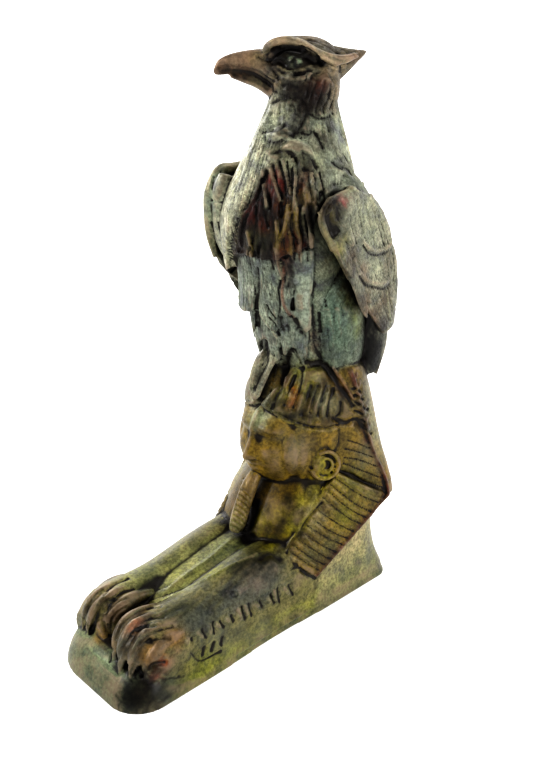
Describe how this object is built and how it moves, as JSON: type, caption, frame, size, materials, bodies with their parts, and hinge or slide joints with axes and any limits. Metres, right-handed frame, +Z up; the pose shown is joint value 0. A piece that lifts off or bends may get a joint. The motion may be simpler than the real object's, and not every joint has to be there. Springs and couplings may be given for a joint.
{
  "type": "eagle and sphinx statuette",
  "caption": "Standing eagle with folded wings on the head of a crouching sphinx with striped headcloth, beard and two lion paws on a rounded plinth, cast in one piece.",
  "frame": {"origin": "on the underside, below the middle of the bounding box", "axes": "+Z up from the plinth to the eagle's head; -Y is where the sphinx faces and its paws point; +X is the sphinx's left"},
  "size_m": [0.0914, 0.1774, 0.2772],
  "materials": {
    "bronze": "dark bronze under a green-grey and olive patina, waxed to a soft gloss, worn to brown-red on ridges"
  },
  "bodies": {
    "root": {"eagle_and_sphinx_casting": "bronze"}
  },
  "joints": []
}
